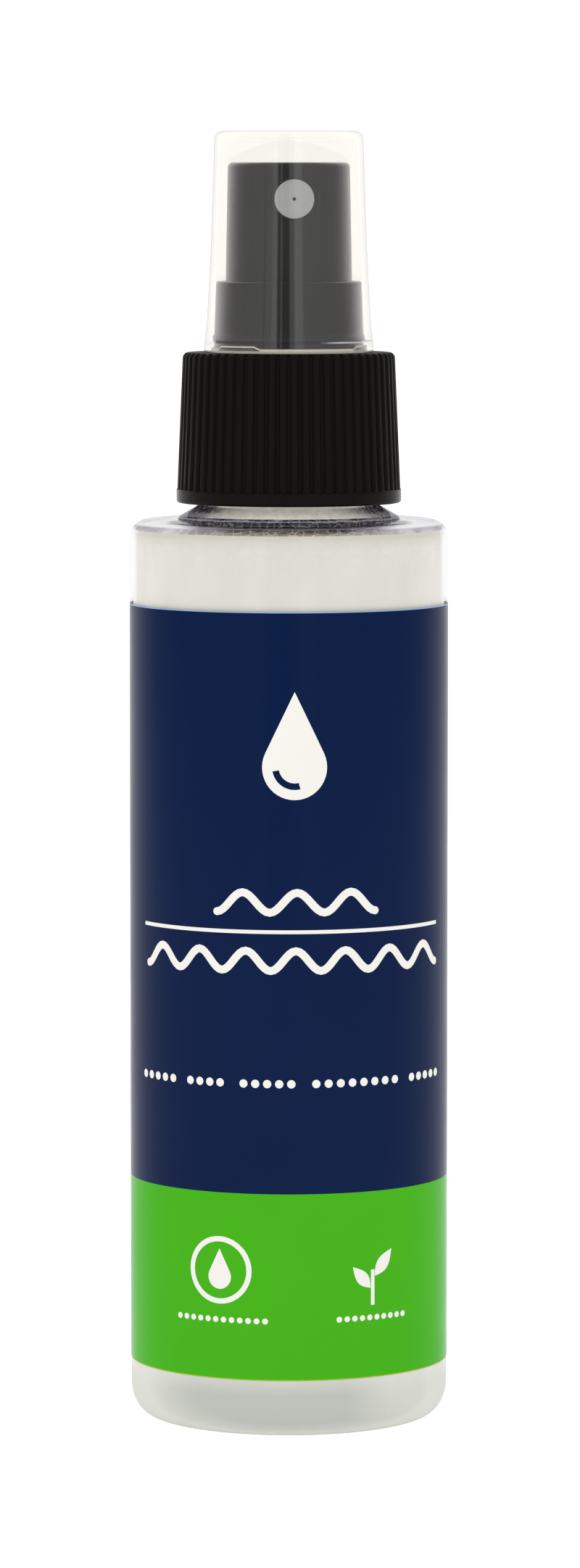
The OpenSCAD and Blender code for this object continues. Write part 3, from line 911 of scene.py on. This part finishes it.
def make_print(name, outlines):
    """White ink shapes: flat outlines filled, cut into strips and wrapped round the label."""
    strip = 0.5
    ink_foot, ink_top = label_r + 0.002, label_r + 0.022
    bm = bmesh.new()
    bm.from_mesh(filled(name, outlines))
    bmesh.ops.remove_doubles(bm, verts=bm.verts, dist=1e-5)
    left = min(v.co.x for v in bm.verts)
    right = max(v.co.x for v in bm.verts)
    for i in range(1, math.ceil((right - left) / strip)):
        everything = bm.verts[:] + bm.edges[:] + bm.faces[:]
        cut = (left + i * strip, 0, 0)
        bmesh.ops.bisect_plane(bm, geom=everything, plane_co=cut, plane_no=(1, 0, 0))
    top = bmesh.ops.extrude_face_region(bm, geom=bm.faces[:])
    raised = {v for v in top["geom"] if isinstance(v, bmesh.types.BMVert)}
    for v in bm.verts:
        r = ink_top if v in raised else ink_foot
        turn = v.co.x / label_r
        v.co = Vector((r * math.sin(turn), -r * math.cos(turn), v.co.y)) * MM
    bmesh.ops.recalc_face_normals(bm, faces=bm.faces)
    bm.verts.index_update()
    mesh = bpy.data.meshes.new(name)
    mesh.from_pydata([v.co for v in bm.verts], [], in_order(bm.faces))
    bm.free()
    smooth(mesh, 40)
    paint(riding(name, mesh, "bottle"), "white_ink")


def make_label_print():
    """Generic drawings in place of the print: mm round the label from its front, mm up."""
    middle, drop_z = 0.7, 81.0
    shine = crescent(middle, drop_z, 2.7, 1.9, 190, 285)
    make_print("print_drop", [drop(middle, drop_z, 3.9, 9.0), shine])
    swing, stroke = 1.2, 0.95
    make_print("print_title", [wave(-8.9, 10.9, 64.8, swing, stroke, 3)])
    make_print("print_rule", [bar(-21.4, 22.5, 61.05, 61.5)])
    make_print("print_subtitle", [wave(-20.4, 22.1, 57.8, swing, stroke, 7)])
    groups = ((-21.8, -15.0, 5), (-13.2, -8.0, 4), (-6.0, 0.8, 5), (2.8, 14.4, 8), (16.3, 22.9, 5))
    make_print("print_slogan", [dot for a, b, n in groups for dot in dots(a, b, 43.0, 0.5, n)])
    ring_x, ring_z = -8.6, 20.3
    ring = [circle(ring_x, ring_z, 4.1), circle(ring_x, ring_z, 3.45)]
    make_print("print_ring", ring + [drop(ring_x, 19.5, 1.5, 3.4)])
    stem = [(10.35, 15.9), (10.85, 15.9), (10.85, 20.2), (10.35, 20.2)]
    leaves = [leaf(10.9, 19.4, 4.0, 1.0, 38), leaf(10.3, 18.0, 3.6, 0.95, -42)]
    make_print("print_sprout", leaves + [stem])
    captions = dots(-14.7, -2.5, 14.3, 0.36, 12) + dots(5.8, 15.6, 14.4, 0.36, 10)
    make_print("print_captions", captions)


# ---------------------------------------------------------------- closure


def rib_turns(count):
    """Angles round the closure, close together at each groove's edges."""
    shares = (0.0, 0.12, 0.2, 0.3, 0.5, 0.7, 0.8, 0.88)
    return [2 * math.pi * (i + share) / count for i in range(count) for share in shares]


def closure_zone(centre):
    """Which plastic: a satin band, a painted highlight on the ledge's top edge, a glossy collar, or
    the matt rest.
    """
    r = math.hypot(centre.x, centre.y)
    if centre.z < closure_low.z + 1.6:
        return "satin_black_pp"
    # painted highlight: light plastic along the top edge of the collar's ledge and its stops
    if centre.z > deck_z + 0.02 and 9.385 < r < 9.445:
        return "painted_highlight_pp"
    return "glossy_black_pp" if centre.z > deck_z and r < 9.6 else "black_pp"


def make_closure():
    """Ribbed screw closure with its collar, thread and three stops for the overcap."""
    foot = closure_low.z
    ribs = 60
    depth = 0.3
    gate = math.radians(270 - 6.5)  # mark of the mould's gate on the band

    def groove(turn, r, z):
        if r > 13.6 and foot + 0.3 < z < foot + 1.4:
            return r - 0.08 if abs(turn - gate) < 0.04 else r
        if r < 12.2 or not foot + 1.68 < z < deck_z - 0.12:
            return r
        share = (turn * ribs / (2 * math.pi)) % 1
        off = min(share, 1 - share)
        return r - depth * min(1, max(0, (0.24 - off) / 0.12))

    skirt = [
        (12.0, foot, 0.1), (13.65, foot, 0.3), (13.65, foot + 0.35), (13.65, foot + 0.38),
        (13.65, foot + 1.3), (13.65, foot + 1.33), (13.65, foot + 1.6, 0.12), (13.54, foot + 1.66),
        (13.53, foot + 1.8), (13.4, foot + 5), (12.85, deck_z, 0.7),
    ]
    collar = [
        (9.42, deck_z), (9.42, deck_z + 0.34), (9.38, deck_z + 0.52), (9.08, deck_z + 0.52),
        (9.05, deck_z + 1.1, 0.1), (9.22, deck_z + 1.5, 0.1), (9.22, deck_z + 1.9, 0.1),
        (9.03, deck_z + 2.25, 0.2), (8.8, collar_top, 0.32), (7.95, collar_top, 0.25),
    ]
    underside = [
        (7.95, deck_z, 0.3), (6.25, deck_z, 0.05), (6.25, deck_z - 1.3, 0.05),
        (12.0, deck_z - 1.3, 0.4),
    ]
    outline = rounded(skirt + collar + underside)
    turns = rib_turns(ribs)
    shell = revolve("closure_shell", outline, "closure", "black_pp", turns, groove, sharp=28)
    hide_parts("closure")
    half_turn_down = thread_z - THREAD_PITCH / 2
    thread = helix_ridge(
        "closure_thread", 12.1, 11.2, 2.0, 0.8, half_turn_down, 1.25, "closure", "black_pp"
    )
    stops = [cap_stop(f"cap_stop_{i + 1}", 120 * i - 133) for i in range(3)]
    plastics = ("black_pp", "satin_black_pp", "glossy_black_pp", "painted_highlight_pp")
    for thing in [shell, thread] + stops:
        paint(thing, *plastics, choose=closure_zone)


def cap_stop(name, middle):
    """Low stop on the closure's ledge, about an angle in degrees; it slopes down at both ends."""
    rise = 0.32
    steps = [(-21, 0.02), (-16.5, rise)] + [(a, rise) for a in range(-14, 15, 4)]
    steps += [(16.5, rise), (21, 0.02)]
    sections = []
    for angle, height in steps:
        low, high = deck_z + 0.3, deck_z + 0.55 + height
        profile = ((9.0, low), (9.46, low), (9.46, high - 0.18), (9.4, high), (9.0, high))
        sections.append(on_turn(math.radians(middle + angle), profile))
    return sweep(name, sections, "closure", "black_pp")


# ---------------------------------------------------------------- head


def make_actuator():
    """Push button with a hollow underside, a bore for the stem and the nozzle's socket."""
    foot, top = actuator_low.z, actuator_high.z
    under = top - 1.4
    outline = rounded([
        (6.8, foot, 0.2), (7.7, foot, 0.2), (7.7, foot + 1.5, 2.0), (7.39, top, 0.6),
        (5.9, top, 3.0), (4.2, top - 0.4, 3.0), (0, top - 0.5), (0, top - 3.0), (0.9, top - 3.0),
        (0.9, top - 8.8), (2.02, top - 8.8), (2.02, foot + 4.2, 0.1), (3.3, foot + 4.2, 0.2),
        (3.3, under, 0.3), (6.5, under, 0.4),
    ])
    button = revolve("actuator_button", outline, "head", "black_pp")
    housing = revolve("nozzle_housing", rounded([
        (0, 2.6), (nozzle_r + 0.8, 2.6, 0.1), (nozzle_r + 0.8, 7.0), (0, 7.0)
    ]), "head", "black_pp")
    combine(button, toward_nozzle(housing), "UNION")
    socket = revolve("socket_cutter", rounded([
        (1.45, 3.6), (nozzle_r + 0.02, 3.6), (nozzle_r + 0.02, 7.05), (nozzle_r + 0.18, 7.15),
        (nozzle_r + 0.28, 8.5), (0, 8.5), (0, 6.25), (1.45, 6.25)
    ]), "head", "black_pp")
    combine(button, toward_nozzle(socket), "DIFFERENCE")
    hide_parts("actuator")
    paint(button, "glossy_black_pp")


def make_nozzle():
    """Cup that snaps into the actuator, with the spray hole in its face."""
    face = 7.22
    hole = 0.2
    outline = rounded([
        (hole, face - 0.12), (hole + 0.3, face - 0.02, 0.05), (1.5, face, 1.0),
        (nozzle_r, face, 0.12), (nozzle_r, 3.95, 0.15), (1.5, 3.95, 0.1),
        (1.5, face - 1.0, 0.1), (0.55, face - 1.0), (0.55, face - 0.7), (hole, face - 0.5),
    ])

    def zone(centre):
        # painted shade: the inside of the spray hole is made dark
        in_hole = math.hypot(centre.x, centre.y) < 0.45 and centre.z < face - 0.1
        return "dark_pp" if in_hole else "grey_acetal"

    turns = [2 * math.pi * i / 72 for i in range(72)]
    insert = revolve("nozzle_cup", outline, "head", "grey_acetal", turns)
    paint(insert, "grey_acetal", "dark_pp", choose=zone)
    toward_nozzle(insert)
    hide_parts("nozzle_insert")


def make_overcap():
    """Clear cover with a bead at its foot and a slight draft."""
    foot, top = overcap_low.z, overcap_high.z
    outline = rounded([
        (9.5, foot, 0.12), (10.3, foot, 0.2), (10.3, foot + 0.6, 0.8), (9.93, foot + 3.9, 5.0),
        (9.5, foot + 12.0, 60.0), (9.0, top, 0.95), (0, top), (0, top - 0.85),
        (8.2, top - 0.85, 0.6), (8.72, foot + 12.0, 40.0), (9.14, foot + 4.0, 3.0),
        (9.28, foot + 1.5, 0.5), (9.5, foot + 1.15, 0.1),
    ], steps=7)

    def side(centre):
        r = math.hypot(centre.x, centre.y)
        wall_middle = 9.9 - 1.15 * (centre.z - foot) / (top - foot)
        within = foot + 0.05 < centre.z < top - 0.5 and r < wall_middle
        return "clear_pp_inside" if within else "clear_pp"

    cap = revolve("overcap_cover", outline, "overcap", "clear_pp")
    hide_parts("overcap")
    paint(cap, "clear_pp", "clear_pp_inside", choose=side)


def make_spring():
    """Round wire with closed ends."""
    wire_r = 0.215
    mean_r = 2.45
    coils = 6.5
    height = spring_high.z - spring_low.z
    open_pitch = (height - 6 * wire_r) / (coils - 2)
    steps = round(coils * 32)
    wire = arc((mean_r, spring_low.z + wire_r), wire_r, 0, 360, 12)[:-1]
    sections = []
    for i in range(steps + 1):
        turn = coils * i / steps
        closed = min(turn, 1) + max(0, turn - coils + 1)
        rise = 2 * wire_r * closed + open_pitch * max(0, min(turn, coils - 1) - 1)
        sections.append(on_turn(2 * math.pi * turn, wire, rise))
    spring = sweep("spring_wire", sections, "pump", "spring_steel")
    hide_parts("return_spring")
    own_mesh(spring)
    paint(spring, "spring_steel")


def finish_kept_parts():
    """CAD parts whose shape is right as it stands get their materials."""
    for entry in frame["record"]["subparts"]:
        part = nodes[entry["node"]]
        if not part.hide_render:
            part.data.materials.clear()
            part.data.materials.append(MATERIALS[entry["material_slot"]])


# ---------------------------------------------------------------- studio


def make_floor():
    """Plain pale floor, mostly self-lit so that it stays even."""
    bpy.ops.mesh.primitive_plane_add(size=8, location=(0, 0, -0.0002))
    floor = bpy.context.object
    floor.name = "floor"
    made, tree = shader()
    made.name = "pale_floor"
    matt = add(tree, "ShaderNodeBsdfDiffuse", {"Color": (0.97, 0.97, 0.97, 1)})
    glow = add(tree, "ShaderNodeEmission", {"Color": (1, 1, 1, 1), "Strength": SEEN_WHITE})
    camera = add(tree, "ShaderNodeLightPath").outputs["Is Camera Ray"]
    share = rescale(tree, camera, 0, 1, 0.4, 0.96)
    output(tree, mixed(tree, share, matt.outputs[0], glow.outputs[0]))
    floor.data.materials.append(made)


def make_world():
    """White studio: even light, a bright backdrop, and a dimmer front that surfaces mirror."""
    world = bpy.data.worlds.new("studio")
    world.use_nodes = True
    bpy.context.scene.world = world
    world.cycles.sampling_method = "NONE"
    tree = world.node_tree
    tree.nodes.clear()
    toward = add(tree, "ShaderNodeTexCoord").outputs["Camera"]
    axes = add(tree, "ShaderNodeSeparateXYZ", {"Vector": toward}).outputs
    back = calc(tree, "MULTIPLY", axes["Z"], -1.0)
    swing = calc(tree, "ARCTAN2", axes["X"], back)
    around = rescale(tree, swing, -math.pi, math.pi)

    def at(degrees, level):
        """Stop of the ramp: the level of light at an angle round from the camera."""
        return (0.5 + degrees / 360, (level, level, level))

    mirrored = ramp(tree, around, [
        at(-140, 1.0), at(-125, 0.85), at(-108, 0.5), at(-96, 0.34), at(-60, 0.38),
        at(-36.2, 0.42), at(-35.9, 0.16), at(-35.1, 0.16), at(-34.8, 0.44), at(-24.5, 0.44),
        at(-24.0, 0.6), at(-17.2, 0.66), at(-16.6, 0.0), at(-12.7, 0.0), at(-12.2, 0.34),
        at(-10.0, 0.3), at(-9.5, 0.0), at(0.6, 0.0), at(1.4, 0.3), at(8.0, 0.36),
        at(8.8, 0.74), at(19.5, 0.7), at(21, 0.44), at(60, 0.38), at(96, 0.34),
        at(108, 0.5), at(125, 0.85), at(140, 1.0),
    ])
    rays = add(tree, "ShaderNodeLightPath").outputs
    colour = blend(tree, rays["Is Glossy Ray"], (1.0, 1.0, 1.0), mirrored)
    strength = rescale(tree, rays["Is Camera Ray"], 0, 1, 1.02, SEEN_WHITE)
    surface = add(tree, "ShaderNodeBackground", {"Color": colour, "Strength": strength})
    add(tree, "ShaderNodeOutputWorld", {"Surface": surface.outputs[0]})


def make_lights():
    """Two large soft lights from the front left and right, weak beside the even studio light."""
    for name, x, power in (("key", -0.55, 0.5), ("fill", 0.6, 0.3)):
        data = bpy.data.lights.new(name, "AREA")
        data.energy = power
        data.size = 0.5
        light = in_scene(name, data)
        light.location = (x, -0.55, 0.45)
        light.visible_glossy = False
        aim = Vector((0, 0, 0.09)) - light.location
        light.rotation_euler = aim.to_track_quat("-Z", "Y").to_euler()


def make_camera():
    """Long lens from the front, level with the overcap and looking a little down."""
    look_down = 5.03
    data = bpy.data.cameras.new("camera")
    data.sensor_width = 36
    data.lens = 156.3
    camera = in_scene("camera", data)
    camera.location = (0.00014, -0.8268, 0.1501)
    camera.rotation_euler = (math.radians(90 - look_down), 0, 0)
    bpy.context.scene.camera = camera


def set_look():
    """Plain colours, and enough bounces to see through every clear wall."""
    scene = bpy.context.scene
    scene.view_settings.view_transform = "Standard"
    scene.view_settings.look = "None"
    scene.cycles.use_denoising = True
    scene.cycles.transparent_max_bounces = 32
    scene.cycles.max_bounces = 12


make_bottle()
make_liquid()
make_foam()
make_label()
make_label_print()
make_closure()
make_actuator()
make_nozzle()
make_overcap()
make_spring()
finish_kept_parts()
make_floor()
make_world()
make_lights()
make_camera()
set_look()
